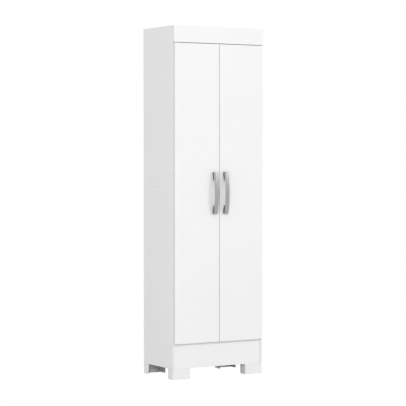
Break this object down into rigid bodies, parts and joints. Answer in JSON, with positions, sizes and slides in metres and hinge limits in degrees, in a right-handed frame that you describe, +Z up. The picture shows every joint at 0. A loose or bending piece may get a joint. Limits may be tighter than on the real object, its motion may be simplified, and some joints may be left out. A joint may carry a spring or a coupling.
{
  "type": "pantry cabinet",
  "caption": "Tall narrow free-standing storage cabinet with two hinged doors, bow handles, inner shelves, a fascia and recessed plinth, on hollow corner feet.",
  "frame": {"origin": "on the floor, under the middle of the whole cabinet's box, handles included", "axes": "+X to the right of a person facing the doors, +Y from the doors to the back, +Z up"},
  "size_m": [0.54, 0.36, 1.81],
  "materials": {
    "white_laminate": "satin white melamine on particle board",
    "white_hardboard": "white painted hardboard, matt",
    "white_plastic": "white moulded plastic, matt",
    "foot_plastic": "white moulded plastic, fine satin texture",
    "satin_handle": "satin silver grey",
    "plated_steel": "nickel plated, smooth"
  },
  "bodies": {
    "carcass": {"side_panel_left": "white_laminate", "side_panel_right": "white_laminate", "top_panel": "white_laminate", "bottom_panel": "white_laminate", "fascia_board": "white_laminate", "plinth_rail_front": "white_laminate", "plinth_rail_rear": "white_laminate", "shelf_fixed": "white_laminate", "shelf_lower": "white_laminate", "shelf_upper": "white_laminate", "back_sheet_lower": "white_hardboard", "back_sheet_upper": "white_hardboard", "back_joint_strip": "white_plastic", "shelf_pin_lower_left_front": "white_plastic", "shelf_pin_lower_left_rear": "white_plastic", "shelf_pin_lower_right_front": "white_plastic", "shelf_pin_lower_right_rear": "white_plastic", "shelf_pin_upper_left_front": "white_plastic", "shelf_pin_upper_left_rear": "white_plastic", "shelf_pin_upper_right_front": "white_plastic", "shelf_pin_upper_right_rear": "white_plastic", "foot_front_left": "foot_plastic", "foot_rear_left": "foot_plastic", "hinge_arm_left_lower": "plated_steel", "hinge_arm_left_middle": "plated_steel", "hinge_arm_left_upper": "plated_steel", "foot_front_right": "foot_plastic", "foot_rear_right": "foot_plastic", "hinge_arm_right_lower": "plated_steel", "hinge_arm_right_middle": "plated_steel", "hinge_arm_right_upper": "plated_steel"},
    "door_left": {"door_left": "white_laminate", "handle_left": "satin_handle", "handle_screw_left_lower": "plated_steel", "handle_screw_left_upper": "plated_steel", "hinge_cup_left_lower": "plated_steel", "hinge_cup_left_middle": "plated_steel", "hinge_cup_left_upper": "plated_steel"},
    "door_right": {"door_right": "white_laminate", "handle_right": "satin_handle", "handle_screw_right_lower": "plated_steel", "handle_screw_right_upper": "plated_steel", "hinge_cup_right_lower": "plated_steel", "hinge_cup_right_middle": "plated_steel", "hinge_cup_right_upper": "plated_steel"},
    "hinge_links_left": {"hinge_link_left_lower": "plated_steel", "hinge_link_left_middle": "plated_steel", "hinge_link_left_upper": "plated_steel"},
    "hinge_links_right": {"hinge_link_right_lower": "plated_steel", "hinge_link_right_middle": "plated_steel", "hinge_link_right_upper": "plated_steel"}
  },
  "joints": [
    {"name": "door_left_swing", "type": "hinge", "parent": "carcass", "child": "door_left", "pos_m": [-0.261, -0.142, 0.95], "axis": [0, 0, -1], "range_deg": [0, 105]},
    {"name": "hinge_links_left_swing", "type": "hinge", "parent": "carcass", "child": "hinge_links_left", "pos_m": [-0.253, -0.132, 0.95], "axis": [0, 0, -1], "range_deg": [0, 95.1]},
    {"name": "door_right_swing", "type": "hinge", "parent": "carcass", "child": "door_right", "pos_m": [0.261, -0.142, 0.95], "axis": [0, 0, 1], "range_deg": [0, 105]},
    {"name": "hinge_links_right_swing", "type": "hinge", "parent": "carcass", "child": "hinge_links_right", "pos_m": [0.253, -0.132, 0.95], "axis": [0, 0, 1], "range_deg": [0, 95.1]}
  ],
  "couplings": [
    {"joint": "hinge_links_left_swing", "follows": "door_left_swing", "ratio": 0.905},
    {"joint": "hinge_links_right_swing", "follows": "door_right_swing", "ratio": 0.905}
  ]
}
